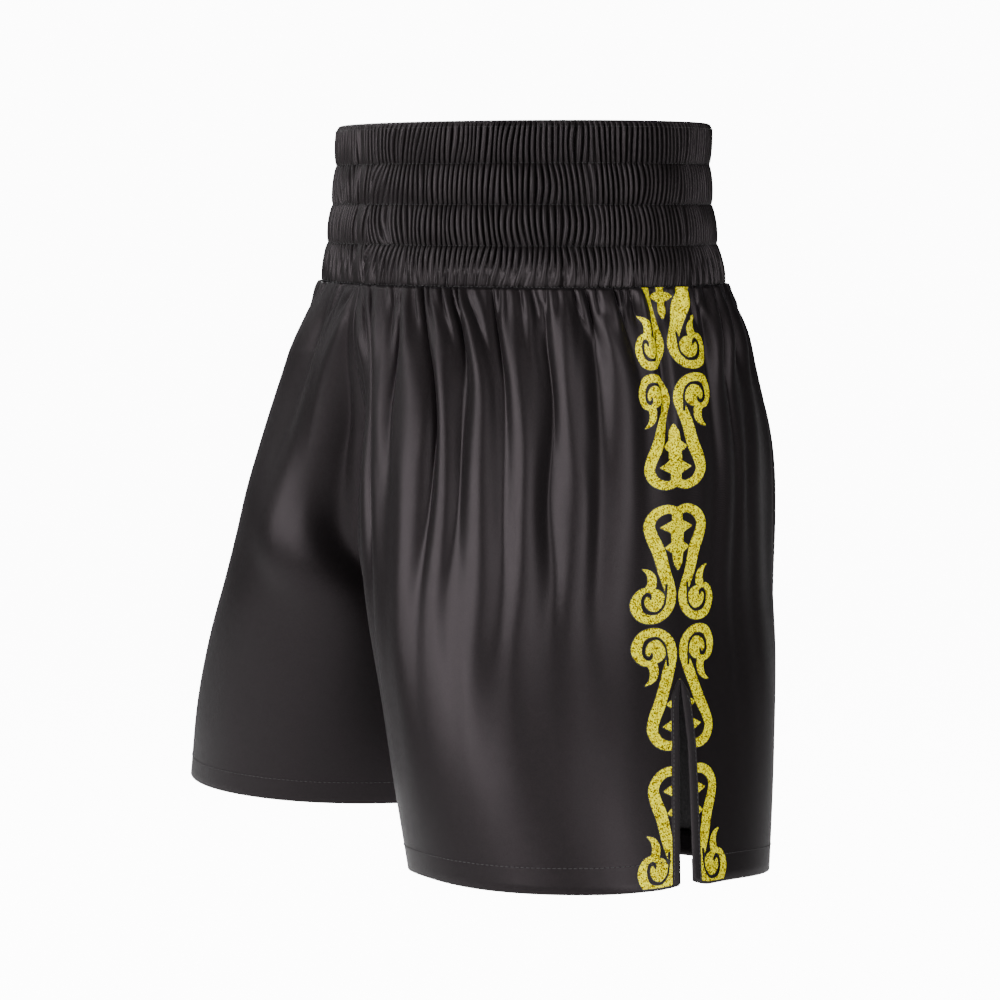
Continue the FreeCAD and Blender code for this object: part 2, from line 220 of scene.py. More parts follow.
def fold_field(z, xi, side):
    """Outward and sideways displacement of the cloth from its base, in metres.

    z is the height of each row and xi the distance behind the side line of each point."""
    seed = FOLD_SEEDS[side]
    depth = (WAIST - z)[:, None] + 0 * xi
    seam_reach = xi - xi[:, :1]
    beside = xi + np.interp(z, FINE_Z, EASY_HALF)[:, None]
    calm = 0.8
    if side == "right":
        xi = xi + seam_drift(z, xi)
        calm = 1 - 0.6 * smooth(-xi, 0.05, 0.12)
    lean = 0.05 * noise2(xi / 0.09, depth / 0.5, seed) * depth
    lean = lean + 0.0035 * noise2(xi / 0.02, depth / 0.06, seed + 1)
    index = crest_index(xi + lean, side, seed)
    out = np.zeros_like(xi)
    along = np.zeros_like(xi)

    def wave(cycles, pitch, amount, sharp, wander, scale, k):
        nonlocal out, along
        phase = 2 * math.pi * (cycles + wander * noise2(xi / scale, depth / (scale * 2.5), seed + k))
        patches = noise2(xi / (pitch * 1.4), depth / 0.16, seed + 20 + k)
        size = amount * np.clip(0.84 + 0.50 * patches, 0.25, 1.4)
        out += size * np.cos(phase)
        share = np.clip(size / (amount.max() + 1e-9), 0, 1)
        along += sharp * pitch / (2 * math.pi) * np.sin(phase) * share

    seam = 1.0 - 0.45 * np.exp(-depth / 0.003)
    tiny = 0.00120 * seam * np.exp(-((depth / 0.016) ** 1.4))
    fine = 0.00210 * calm * seam * np.exp(-((depth / 0.027) ** 1.3))
    pair = 0.0029 * calm * smooth(depth, -0.010, 0.02) * np.exp(-((depth / 0.066) ** 1.5))
    main = 0.0052 * smooth(depth, -0.020, 0.040) * np.exp(-((depth / 0.186) ** 3.1))
    broad = 0.0019 * smooth(depth, 0.02, 0.10) * np.exp(-((depth / 0.190) ** 3.0))
    wave(index, 0.028, main, 0.60, 0.10, 0.05, 2)
    wave(index * 2 + 0.25, 0.014, pair, 0.5, 0.35, 0.03, 3)
    wave(index * 3.2 + 0.5, 0.0088, fine, 0.5, 0.6, 0.016, 4)
    wave(index * 5.1, 0.0056, tiny, 0.4, 0.7, 0.011, 7)
    wave(index / 2.6 + 0.3, 0.075, broad, 0.3, 0.3, 0.12, 5)
    soft = 0.0010 * smooth(depth, 0.05, 0.2)
    out += soft * noise2(xi / 0.055, depth / 0.10, seed + 6)
    out += 0.0007 * smooth(depth, 0.15, 0.34) * np.cos(2 * math.pi * (xi / 0.13 + 0.2 * seed))
    if side == "right":
        crest = 0.0045 * np.exp(-(((beside - 0.090) / 0.030) ** 2))
        tuck = crest - 0.009 * np.exp(-(((beside - 0.034) / 0.026) ** 2))
        out += smooth(depth, 0.04, 0.17) * smooth(0.38 - depth, 0.0, 0.20) * tuck
        xi = xi - seam_drift(z, xi)
    edge = np.minimum(seam_reach, seam_reach[:, ::-1])
    quiet = np.exp(-((xi / 0.036) ** 4)) * smooth(depth, 0.0, 0.03)
    behind = np.exp(-(((xi - 0.080) / 0.052) ** 4)) * smooth(depth, 0.02, 0.07)
    hold = smooth(edge, 0.0, 0.016) * (1 - 0.92 * quiet) * (1 - 0.78 * behind)
    crease = 0.0042 * np.exp(-(((xi + 0.0045) / 0.0042) ** 2))
    crease = crease * smooth(depth, -0.01, 0.02) * smooth(0.128 - depth, 0, 0.06)
    return out * hold - crease, along * hold


# How far the side line sways back from the middle of the panel: (height, amount)s.
SWAY = np.array([
    (-0.447, 0.000), (-0.41, 0.0035), (-0.37, 0.0075), (-0.335, 0.0090), (-0.27, 0.0092),
    (-0.22, 0.0055), (-0.18, 0.0030), (-0.14, 0.0), (-0.10, -0.001),
])
# Where a panel stands out from the base or falls in: distance behind the side line, width, (height, amount)s.
BULGES = {
    "left": [
        (-0.215, 0.050, [(-0.447, 0.0050), (-0.40, 0.0036), (-0.34, 0.0005), (-0.30, 0.0)]),
        (0.120, 0.060, [
            (-0.447, 0.0043), (-0.38, 0.0045), (-0.33, 0.0040), (-0.29, 0.0016), (-0.25, 0.0010),
            (-0.19, 0.0020), (-0.15, 0.0),
        ]),
    ],
    "right": [
        (-0.130, 0.070, [
            (-0.447, 0.0045), (-0.40, 0.0050), (-0.36, 0.0032), (-0.305, -0.0002), (-0.255, -0.0042),
            (-0.21, -0.0052), (-0.17, -0.0025), (-0.145, 0.0),
        ]),
    ],
}


class Panel:
    """One leg panel: a grid of points with normals, with the side slit opened."""

    def __init__(self, side):
        self.side, self.sign = side, SIDES[side]
        point, normal, self.reach = base_rows(ROWS_Z, T)
        out, along = fold_field(ROWS_Z, self.reach, side)
        for at, width, amounts in BULGES[side]:
            amounts = np.array(amounts)
            swell = spline(ROWS_Z, amounts[:, 0], amounts[:, 1])[:, None]
            out = out + swell * np.exp(-(((self.reach - at) / width) ** 2))
        tangent = np.cross(normal, up)
        tangent = -tangent / np.linalg.norm(tangent, axis=-1, keepdims=True)
        depth = (WAIST - ROWS_Z)[:, None]
        fall = 0.008 * np.abs(T) ** 2.5
        if side == "left":
            behind = 0.0205 * smooth(T, 0.0, 0.64)
            before = 0.005 * np.abs(T) ** 3 + 0.0155 * smooth(-T, 0.50, 0.97)
            fall = np.where(T > 0, behind, before)
        drop = smooth(depth, 0.20, 0.347) * fall[None, :]
        sway = np.interp(ROWS_Z, SWAY[:, 0], SWAY[:, 1])[:, None]
        sway = sway * np.exp(-((self.reach / 0.065) ** 2))
        point = point + normal * out[..., None] + tangent * (along + sway)[..., None]
        edge = self.reach - self.reach[:, :1]
        groove = smooth(depth, 0.015, 0.10) * smooth(0.200 - depth, 0.0, 0.06)
        point[..., 1] += 0.018 * groove * np.exp(-((edge / 0.028) ** 2))
        point[..., 2] -= drop
        if side == "right":
            point[..., 2] += 0.008 * smooth(depth, 0.05, 0.34)
        self.front, self.back = self.opened(point, tangent, -1), self.opened(point, tangent, 1)
        self.front_normal = grid_normals(self.front)
        self.back_normal = grid_normals(self.back)

    def opened(self, point, tangent, way):
        """The grid as one flap sees it: its slit edge is drawn back, more towards the hem.

        way is -1 for the front flap and 1 for the back one."""
        below = np.clip(SLIT_TOP - ROWS_Z, 0.0, None)[:, None]
        fall = smooth(below, 0.0, 0.13)
        near = np.exp(-((self.reach / 0.045) ** 2))
        gap = (0.0003 + 0.0037 * (1 - np.exp(-below / 0.019))) * (below > 0)
        moved = point + tangent * (way * gap * near)[..., None]
        corner = np.clip(1 - np.abs(self.reach) / 0.016, 0, 1) ** 2
        lifted = (0.0035 if way > 0 else 0.0012) * corner
        moved[..., 2] += lifted * smooth(SLIT_TOP - ROWS_Z, 0.09, 0.112)[:, None]
        bow = (0.0022 if way > 0 else -0.0012) * fall * np.exp(-((self.reach / 0.02) ** 2))
        return moved + np.cross(up, tangent) * -bow[..., None]

    def sample(self, s, z, way=0):
        """Point and normal on the cloth at s metres behind the side line, at a height.

        way picks the flap, -1 for the front and 1 for the back; 0 takes the one that s lies on."""
        s, z = np.asarray(s, float), np.asarray(z, float)
        row = np.interp(-z, -ROWS_Z, np.arange(len(ROWS_Z)))
        half, easy = np.interp(z, FINE_Z, FINE_HALF), np.interp(z, FINE_Z, EASY_HALF)
        t = np.clip(np.abs(s) / easy, 0.0, 1.0)
        for _ in range(6):
            miss = easy * t + (half - easy) * t**SEAM_CROWDING - np.abs(s)
            t -= miss / (easy + SEAM_CROWDING * (half - easy) * t ** (SEAM_CROWDING - 1))
            t = np.clip(t, 0.0, 1.0)
        col = np.clip((np.sign(s) * t + 1) / 2 * (COLS - 1), 0, COLS - 1.001)
        r0 = np.clip(row.astype(int), 0, len(ROWS_Z) - 2)
        c0 = col.astype(int)
        fr, fc = (row - r0)[..., None], (col - c0)[..., None]
        back = (s >= 0) if way == 0 else np.full(s.shape, way > 0)
        found = []
        for pair in ((self.front, self.back), (self.front_normal, self.back_normal)):
            values = []
            for grid in pair:
                a = grid[r0, c0] * (1 - fc) + grid[r0, c0 + 1] * fc
                b = grid[r0 + 1, c0] * (1 - fc) + grid[r0 + 1, c0 + 1] * fc
                values.append(a * (1 - fr) + b * fr)
            found.append(np.where(back[..., None], values[1], values[0]))
        normal = found[1] / np.linalg.norm(found[1], axis=-1, keepdims=True)
        return found[0], normal


def grid_normals(grid):
    """Outward normals of a grid whose columns run from front to back."""
    down = np.gradient(grid, axis=0)
    across = np.gradient(grid, axis=1)
    normal = np.cross(down, across)
    normal /= np.maximum(np.linalg.norm(normal, axis=-1, keepdims=True), 1e-12)
    return normal


# ---------------------------------------------------------------- mesh helpers
def new_mesh(name, verts, faces, sign=1.0, flat=False):
    """A mesh object; sign -1 mirrors it to the right side."""
    verts = np.array(verts, float).reshape(-1, 3)
    if sign < 0:
        verts = verts * np.array([-1.0, 1.0, 1.0])
        faces = [tuple(reversed(f)) for f in faces]
    mesh = bpy.data.meshes.new(name)
    mesh.from_pydata(verts.tolist(), [], [tuple(map(int, f)) for f in faces])
    mesh.update()
    if not flat:
        mesh.shade_smooth()
    obj = bpy.data.objects.new(name, mesh)
    bpy.context.scene.collection.objects.link(obj)
    return obj


def grid_faces(rows, cols, wrap=False):
    """Faces of a grid, facing out when rows run down and columns run from front to back."""
    faces = []
    for r in range(rows - 1):
        for c in range(cols if wrap else cols - 1):
            n = (c + 1) % cols
            a, b = r * cols + c, r * cols + n
            faces.append((a, a + cols, b + cols, b))
    return faces


def thicken(obj, depth):
    """Gives a sheet its thickness, inwards, as real geometry."""
    solid = obj.modifiers.new("cloth", "SOLIDIFY")
    solid.thickness = depth
    solid.offset = -1.0
    solid.use_even_offset = False
    solid.material_offset = 1
    apply_modifiers(obj)


def apply_modifiers(obj):
    """Replaces the object's mesh by the one its modifiers give."""
    bpy.context.view_layer.update()
    done = bpy.data.meshes.new_from_object(obj.evaluated_get(bpy.context.evaluated_depsgraph_get()))
    obj.modifiers.clear()
    old, obj.data = obj.data, done
    bpy.data.meshes.remove(old)
    obj.data.shade_smooth()


# ---------------------------------------------------------------- materials
def material(name, build):
    """A material whose nodes build(tree, shader, place) makes; place is the object's own coordinates."""
    mat = bpy.data.materials.new(name)
    mat.use_nodes = True
    tree = mat.node_tree
    shader = tree.nodes["Principled BSDF"]
    place = tree.nodes.new("ShaderNodeTexCoord").outputs["Object"]
    build(tree, shader, place)
    return mat


def add(tree, kind, place=None, **values):
    """A node with its inputs set; values may be numbers, colours or sockets."""
    node = tree.nodes.new(kind)
    if place is not None:
        tree.links.new(place, node.inputs["Vector"])
    for key, value in values.items():
        socket = node.inputs[key.replace("_", " ")]
        if isinstance(value, bpy.types.NodeSocket):
            tree.links.new(value, socket)
        else:
            socket.default_value = value
    return node


def ramp(tree, source, stops):
    """The colour at a value from 0 to 1 between (place, colour) stops."""
    node = tree.nodes.new("ShaderNodeValToRGB")
    tree.links.new(source, node.inputs["Fac"])
    while len(node.color_ramp.elements) < len(stops):
        node.color_ramp.elements.new(0.5)
    for element, (at, colour) in zip(node.color_ramp.elements, stops):
        element.position = at
        element.color = (*colour, 1.0)
    return node.outputs["Color"]


def maths(tree, operation, *inputs):
    """The result of a Math node; inputs may be numbers or sockets."""
    node = tree.nodes.new("ShaderNodeMath")
    node.operation = operation
    for socket, value in zip(node.inputs, inputs):
        if isinstance(value, bpy.types.NodeSocket):
            tree.links.new(value, socket)
        else:
            socket.default_value = value
    return node.outputs[0]


def bump(tree, shader, height, strength, distance):
    """Fine relief in the shading."""
    node = add(tree, "ShaderNodeBump", Height=height, Strength=strength, Distance=distance)
    tree.links.new(node.outputs["Normal"], shader.inputs["Normal"])


def satin_nodes(dark, light, rough, sheen):
    """Smooth, close-woven satin: a dark body, fine grain and a soft, faintly plum sheen."""

    def build(tree, shader, place):
        grain = add(tree, "ShaderNodeTexNoise", place, Scale=1150.0, Detail=3.0, Roughness=0.6)
        patch = add(tree, "ShaderNodeTexNoise", place, Scale=26.0, Detail=2.0)
        colour = ramp(tree, grain.outputs["Fac"], [(0.3, dark), (0.72, light)])
        tree.links.new(colour, shader.inputs["Base Color"])
        limits = {"To_Min": rough - 0.03, "To_Max": rough + 0.04}
        even = add(tree, "ShaderNodeMapRange", Value=patch.outputs["Fac"], **limits)
        tree.links.new(even.outputs["Result"], shader.inputs["Roughness"])
        weave = add(tree, "ShaderNodeTexWave", place, Scale=1500.0, Distortion=1.2)
        relief = maths(tree, "ADD", grain.outputs["Fac"], weave.outputs["Fac"])
        bump(tree, shader, relief, 0.16, 0.00025)
        shader.inputs["Specular IOR Level"].default_value = 0.20
        shader.inputs["Sheen Weight"].default_value = sheen
        shader.inputs["Sheen Roughness"].default_value = 0.45
        shader.inputs["Sheen Tint"].default_value = (0.86, 0.80, 0.88, 1.0)
        shader.inputs["Specular Tint"].default_value = (1.0, 0.87, 0.93, 1.0)

    return build


def glitter_nodes(tree, shader, place):
    """Gold glitter: flakes of random brightness, clumped a little."""
    flake = add(tree, "ShaderNodeTexVoronoi", place, Scale=1350.0)
    clump = add(tree, "ShaderNodeTexNoise", place, Scale=700.0, Detail=2.0, Roughness=0.6)
    split = add(tree, "ShaderNodeSeparateColor", Color=flake.outputs["Color"])
    clumps = maths(tree, "MULTIPLY", clump.outputs["Fac"], 0.40)
    mix = maths(tree, "MULTIPLY_ADD", split.outputs["Red"], 0.80, clumps)
    stops = [
        (0.26, (0.11, 0.065, 0.0)), (0.47, (0.48, 0.37, 0.0)),
        (0.64, (0.94, 0.83, 0.0)), (0.92, (1.0, 0.95, 0.0)),
    ]
    tree.links.new(ramp(tree, mix, stops), shader.inputs["Base Color"])
    shader.inputs["Metallic"].default_value = 0.15
    shader.inputs["Roughness"].default_value = 0.5
    shader.inputs["Specular IOR Level"].default_value = 0.05
    shader.inputs["Specular Tint"].default_value = (1.0, 0.86, 0.0, 1.0)
    bump(tree, shader, split.outputs["Green"], 0.5, 0.0002)


def plain_cloth(colour, rough, scale):
    """Matt cloth or thread of one colour with a fine grain."""

    def build(tree, shader, place):
        noise = add(tree, "ShaderNodeTexNoise", place, Scale=scale, Detail=3.0)
        light = tuple(min(1.0, c * 1.7 + 0.004) for c in colour)
        grain = ramp(tree, noise.outputs["Fac"], [(0.3, colour), (0.75, light)])
        tree.links.new(grain, shader.inputs["Base Color"])
        shader.inputs["Roughness"].default_value = rough
        bump(tree, shader, noise.outputs["Fac"], 0.3, 0.0003)

    return build


# Dark and light colour, roughness and sheen of each satin.
SATINS = {
    "satin": ((0.0044, 0.0035, 0.0037), (0.0080, 0.0065, 0.0069), 0.39, 0.038),
    "band_satin": ((0.0040, 0.0034, 0.0034), (0.0075, 0.0063, 0.0063), 0.39, 0.03),
    "tape": ((0.0080, 0.0072, 0.0076), (0.0140, 0.0125, 0.0132), 0.50, 0.10),
}
satin, band_satin, tape = (material(name, satin_nodes(*look)) for name, look in SATINS.items())
thread = material("thread", plain_cloth((0.016, 0.0145, 0.0155), 0.55, 1500.0))
elastic = material("elastic", plain_cloth((0.030, 0.029, 0.030), 0.8, 900.0))
reverse = material("satin_reverse", plain_cloth((0.022, 0.0205, 0.0215), 0.85, 700.0))
gold = material("gold_glitter", glitter_nodes)
outline = material("print_outline", plain_cloth((0.0045, 0.004, 0.006), 0.5, 800.0))

SLOT_LOOKS = {
    "panel_satin": satin, "waistband_satin": band_satin, "binding": tape,
    "thread": thread, "elastic": elastic, "glitter_print": gold,
}
for part in frame["record"]["subparts"]:
    cad = frame["nodes"][part["node"]]
    cad.data.materials.clear()
    cad.data.materials.append(SLOT_LOOKS[part["material_slot"]])


# ---------------------------------------------------------------- how soft pieces are placed: leg pieces baked in place, hip pieces attached to the hip
def follow_leg(obj, side):
    """Bakes the piece's placement into its mesh."""
    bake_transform(obj)


def finish_leg_piece(obj, side, mats, slot, *nodes):
    """Materials, baked placement and replaced nodes of a piece on a leg panel; slot is not used."""
    for mat in mats:
        obj.data.materials.append(mat)
    follow_leg(obj, side)
    if nodes:
        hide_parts(*nodes)


def finish_hip_piece(obj, mat, node):
    """Material, motion and replaced node of a piece that stays with the hips."""
    obj.data.materials.append(mat)
    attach(obj, "hip")
    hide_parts(node)


# ---------------------------------------------------------------- leg panels
CLOTH = 0.0005
HEM_FOLD = [  # distance inside the cloth, height over the hem
    (0.0003, -0.0006), (0.0009, -0.0010), (0.0015, -0.0007), (0.0019, 0.0002),
    (0.0019, 0.0030), (0.0019, 0.0065), (0.0019, 0.0100), (0.0019, 0.0138),
]


def flap_rows(grid, normal):
    """A flap's rows with the hem turned up inside it."""
    rows = list(grid)
    for inward, rise in HEM_FOLD:
        at = np.interp(-(HEM + max(rise, 0.0)), -ROWS_Z, np.arange(len(ROWS_Z)))
        r = min(int(at), len(ROWS_Z) - 2)
        f = at - r
        point = grid[r] * (1 - f) + grid[r + 1] * f - normal[-1] * inward
        point = point + np.array([0, 0, min(rise, 0.0)])
        rows.append(point)
    return np.array(rows)


def make_panel(panel):
    """One sheet of cloth; below the slit's top its middle column is doubled, one for each flap."""
    front = flap_rows(panel.front, panel.front_normal)
    back = flap_rows(panel.back, panel.back_normal)
    count = len(front)
    verts = np.where((np.arange(COLS) <= MID)[None, :, None], front, back).reshape(-1, 3)
    slit_rows = [r for r in range(count) if r >= len(ROWS_Z) or ROWS_Z[r] < SLIT_TOP]
    extra = {r: len(verts) + k for k, r in enumerate(slit_rows)}
    verts = np.concatenate([verts, back[slit_rows, MID]])
    faces = []
    for r in range(count - 1):
        for c in range(COLS - 1):
            a, b = r * COLS + c, r * COLS + c + 1
            d, e = a + COLS, b + COLS
            if c == MID:
                a, d = extra.get(r, a), extra.get(r + 1, d)
            faces.append((a, d, e, b))
    side = panel.side
    obj = new_mesh(f"{side}_panel_cloth", verts, faces, panel.sign)
    for mat in (satin, reverse):  # both have to be there before the thickness
        obj.data.materials.append(mat)
    thicken(obj, CLOTH)
    finish_leg_piece(obj, side, (), "panel_satin", f"{side}_hip_panel", f"{side}_leg_panel")
    return obj


# ---------------------------------------------------------------- stitches
THREAD_SIDES = 6
STITCH_RINGS = [(-0.5, 0.25), (-0.3, 0.95), (0.3, 0.95), (0.5, 0.25)]  # shares of the length and the width


def stitches(points, normals, pitch=0.0031, length=0.0023, half=0.00026, height=0.00022):
    """Vertices and faces of a row of short threads along a path lying on cloth."""
    run = np.concatenate([[0], np.cumsum(np.linalg.norm(np.diff(points, axis=0), axis=1))])
    verts, faces = [], []
    for start in np.arange(pitch / 2, run[-1] - length, pitch):
        base = len(verts)
        for share, fat in STITCH_RINGS:
            at = start + length * (share + 0.5)
            p = np.array([np.interp(at, run, points[:, k]) for k in range(3)])
            q = np.array([np.interp(at + 0.0004, run, points[:, k]) for k in range(3)])
            n = np.array([np.interp(at, run, normals[:, k]) for k in range(3)])
            along = q - p
            across = np.cross(n, along)
            across /= np.linalg.norm(across) + 1e-12
            rise = height * (0.2 + 0.8 * fat)
            for k in range(THREAD_SIDES):
                t = math.tau * k / THREAD_SIDES
                lift = math.sin(t) * half * fat + rise - 0.0001
                verts.append(p + across * math.cos(t) * half * fat + n * lift)
        for i in range(len(STITCH_RINGS) - 1):
            for k in range(THREAD_SIDES):
                a = base + i * THREAD_SIDES + k
                b = base + i * THREAD_SIDES + (k + 1) % THREAD_SIDES
                faces.append((a, b, b + THREAD_SIDES, a + THREAD_SIDES))
        last = len(verts) - THREAD_SIDES
        faces.append(tuple(base + k for k in reversed(range(THREAD_SIDES))))
        faces.append(tuple(last + k for k in range(THREAD_SIDES)))
    return verts, faces


BINDING_WIDE = 0.0053


def slit_room(z):
    """How far from the slit's edge the print gives way to the binding."""
    return BINDING_WIDE * smooth(SLIT_TOP + 0.001 - z, 0.0, 0.011)


def hem_stitches(panel):
    """A row of stitches round the hem, lifted where it crosses the prints."""
    half = panel.reach[-1, -1]
    for name, lo, hi, way in (("front", -half, -0.0055, -1), ("back", 0.0055, half, 1)):
        s = np.linspace(lo, hi, 600)
        p, n = panel.sample(s, np.full(s.shape, HEM + 0.0140), way)
        p = p + n * (0.0006 * np.exp(-((s / 0.036) ** 6)))[:, None]
        obj = new_mesh(f"{panel.side}_hem_stitches_{name}", *stitches(p, n), panel.sign)
        finish_leg_piece(obj, panel.side, [thread], "thread", f"{panel.side}_hem_stitch_{name}")


# ---------------------------------------------------------------- slit bindings
BINDING_SECTION = [  # share of the width from the slit's edge, height over the cloth, length past the edge
    (1.0, 0.0002, 0), (0.96, 0.0007, 0), (0.6, 0.0009, 0), (0.15, 0.0009, 0), (0.0, 0.0007, 0),
    (0.0, 0.0001, 0.0005), (0.0, -0.0006, 0.0005),
    (0.0, -0.0012, 0), (0.3, -0.0014, 0), (0.9, -0.0014, 0), (1.0, -0.0008, 0),
]


def make_bindings(panel):
    """The tape folded round each edge of the slit, and its stitches."""
    side = panel.side
    zs = np.linspace(SLIT_TOP + 0.002, HEM, 84)
    wide = BINDING_WIDE * smooth(SLIT_TOP + 0.004 - zs, 0.0, 0.011) + 0.0004
    line = np.linspace(SLIT_TOP - 0.006, HEM + 0.001, 200)
    for name, way in (("front", -1), ("back", 1)):
        rows = []
        for share, lift, past in BINDING_SECTION:
            p, n = panel.sample(way * (wide * share), zs, way)
            if past:
                outwards = p - panel.sample(way * 0.002 + 0 * zs, zs, way)[0]
                outwards /= np.linalg.norm(outwards, axis=-1, keepdims=True)
                p = p + outwards * past
            rows.append(p + n * lift)
        grid = np.array(rows).transpose(1, 0, 2)
        faces = grid_faces(len(zs), len(rows))
        if way > 0:
            faces = [tuple(reversed(f)) for f in faces]
        foot = (len(zs) - 1) * len(rows)
        cap = tuple(foot + k for k in range(len(rows)))
        faces.append(cap if way > 0 else tuple(reversed(cap)))
        obj = new_mesh(f"{side}_binding_{name}", grid, faces, panel.sign)
        finish_leg_piece(obj, side, [tape], "binding", f"{side}_slit_binding_{name}")
        p, n = panel.sample(way * (0.0043 * smooth(SLIT_TOP - line, 0.0, 0.012)), line, way)
        verts, faces = stitches(p + n * 0.0008, n, pitch=0.0028, length=0.0020)
        obj = new_mesh(f"{side}_binding_stitches_{name}", verts, faces, panel.sign)
        finish_leg_piece(obj, side, [thread], "thread")


# ---------------------------------------------------------------- prints
# One half of a print in millimetres, x from its middle and y up from the curls' edge. A stroke's third
# number is its half width.
SCROLL = [
    (0.0, 65.7, 2.5), (-7.1, 67.4, 2.6), (-14.4, 64.6, 3.0), (-18.3, 58.4, 3.5), (-16.9, 51.6, 3.8),
    (-12.7, 42.3, 4.0), (-9.2, 30.0, 3.8), (-6.0, 21.6, 3.6), (-4.3, 15.0, 3.3), (-6.1, 8.4, 3.0),
    (-11.3, 3.7, 2.6), (-17.7, 2.5, 2.5), (-24.0, 5.0, 2.8), (-26.9, 11.6, 3.1), (-24.2, 17.4, 3.0),
    (-18.6, 19.6, 2.4),
]
FLAME = [(-19.6, 18.2, 2.8), (-17.2, 22.6, 2.9), (-17.3, 27.0, 2.5), (-19.6, 30.4, 1.4), (-23.2, 32.6, 0.15)]
CHANNEL = [  # a stroke left out of the curl
    (-7.6, 22.0, 1.00), (-8.0, 15.0, 0.85), (-9.3, 9.8, 0.90), (-13.8, 6.1, 1.00), (-19.4, 7.3, 1.15),
    (-22.4, 11.3, 1.25), (-22.3, 15.3, 1.30), (-20.2, 17.3, 1.30), (-18.2, 16.6, 1.25), (-17.6, 14.6, 0.7),
]
STEM = [  # y, half width
    (66.0, 3.4), (60.2, 3.4), (58.8, 6.5), (56.5, 11.2), (54.3, 6.5), (52.8, 4.2), (47.0, 4.0), (46.2, 5.6),
    (44.2, 8.4), (42.2, 5.6), (41.0, 3.6), (35.0, 2.8), (30.8, 0.3),
]
DISC = (-15.0, 13.2, 6.6, 6.8)  # centre x and y, half width, half height
MM = 0.001
CELL = 0.62  # step of the grid the prints are cut from
STROKE_STEPS = 26  # circles along a stroke for each of its points
# How far each layer reaches past the drawn edge, its lowest and highest point over the cloth, its material.
PRINT_LAYERS = [(0.55, 0.00003, 0.00022, 1), (0.0, 0.00015, 0.00048, 0)]


def stroke_distance(x, y, spine):
    """Distance in millimetres outside a stroke whose width varies along a smooth spine."""
    spine = np.array(spine)
    knots = np.arange(len(spine), dtype=float)
    fine = np.linspace(0, len(spine) - 1, STROKE_STEPS * len(spine))
    path = np.stack([spline(fine, knots, spine[:, k]) for k in range(3)], axis=1)
    best = np.full(x.shape, 1e9)
    for px, py, r in path:
        best = np.minimum(best, np.hypot(x - px, y - py) - r)
    return best


def polygon_distance(x, y, corners):
    """Signed distance to a polygon, negative inside."""
    best = np.full(x.shape, 1e9)
    inside = np.zeros(x.shape, bool)
    for (ax, ay), (bx, by) in zip(corners, corners[1:] + corners[:1]):
        ex, ey = bx - ax, by - ay
        t = np.clip(((x - ax) * ex + (y - ay) * ey) / (ex * ex + ey * ey), 0, 1)
        best = np.minimum(best, np.hypot(x - ax - t * ex, y - ay - t * ey))
        inside ^= ((ay > y) != (by > y)) & (x < ex * (y - ay) / (by - ay + 1e-12) + ax)
    return np.where(inside, -best, best)


def motif_distance(x, y):
    """Signed distance in millimetres to one motif, arch up, curls down, centred on x = 0."""
    x = -np.abs(x)
    stroke = stroke_distance(x, y, SCROLL)
    cx, cy, rx, ry = DISC
    disc = (np.hypot((x - cx) / rx, (y - cy) / ry) - 1) * min(rx, ry)
    shape = np.minimum(np.minimum(stroke, disc), stroke_distance(x, y, FLAME))
    shape = np.maximum(shape, -stroke_distance(x, y, CHANNEL))
    stem = polygon_distance(x, y, [(-w, v) for v, w in STEM] + [(w, v) for v, w in reversed(STEM)])
    return np.minimum(shape, stem - 0.2)


def region(field, limit):
    """Cells and part cells where a field on a grid is under a limit: (points in grid units, faces)."""
    value = field - limit
    keep = value < 0
    any_in = keep[:-1, :-1] | keep[1:, :-1] | keep[:-1, 1:] | keep[1:, 1:]
    index, points, faces = {}, [], []

    def vertex(key, x, y):
        if key not in index:
            index[key] = len(points)
            points.append((x, y))
        return index[key]

    for i, j in zip(*np.nonzero(any_in)):
        corners = [(i, j), (i + 1, j), (i + 1, j + 1), (i, j + 1)]
        face = []
        for k in range(4):
            p, q = corners[k], corners[(k + 1) % 4]
            vp, vq = value[p], value[q]
            if vp < 0:
                face.append(vertex(p, *p))
            if (vp < 0) != (vq < 0):
                t = min(max(vp / (vp - vq), 0.02), 0.98)
                key = (min(p, q), max(p, q))
                face.append(vertex(key, p[0] + (q[0] - p[0]) * t, p[1] + (q[1] - p[1]) * t))
        if len(face) >= 3:
            faces.append(tuple(face))
    return np.array(points), faces


def slab_mesh(place, points, faces, low, high):
    """A closed slab over a flat region: place(points, lift) puts grid points on the cloth."""
    top, base = place(points, high), place(points, low)
    count = len(points)
    out = list(faces) + [tuple(count + v for v in reversed(f)) for f in faces]
    seen = {}
    for f in faces:
        for a, b in zip(f, f[1:] + f[:1]):
            seen[(a, b)] = seen.get((a, b), 0) + 1
    for a, b in seen:
        if (b, a) not in seen:
            out.append((a, a + count, b + count, b))
    return np.concatenate([top, base]), out


# Name, height of the curls' edge, 1 or -1 for the arch above or below it, and the flap: -1 front, 1 back.
MOTIFS = [
    ("1", -0.1495, 1, 0), ("2", -0.1520, -1, 0), ("3", -0.2998, 1, 0),
    ("4_front", -0.3023, -1, -1), ("4_back", -0.3023, -1, 1),
    ("5_front", -0.4501, 1, -1), ("5_back", -0.4501, 1, 1),
]
MOTIF_X = np.arange(-33.0, 33.01, CELL)
MOTIF_Y = np.arange(-2.0, 72.01, CELL)
GX, GY = np.meshgrid(MOTIF_X, MOTIF_Y, indexing="ij")
MOTIF_FIELD = motif_distance(GX, GY)
# Heights, and how far the prints are spread there, and their front half drawn in.
SPREAD = [-0.447, -0.35, -0.27, -0.19, -0.12], [1.0, 1.03, 1.08, 1.13, 1.15]
DRAWN_IN = [-0.232, -0.205, -0.170, -0.145, -0.105], [0.0, 0.08, 0.26, 0.34, 0.38]


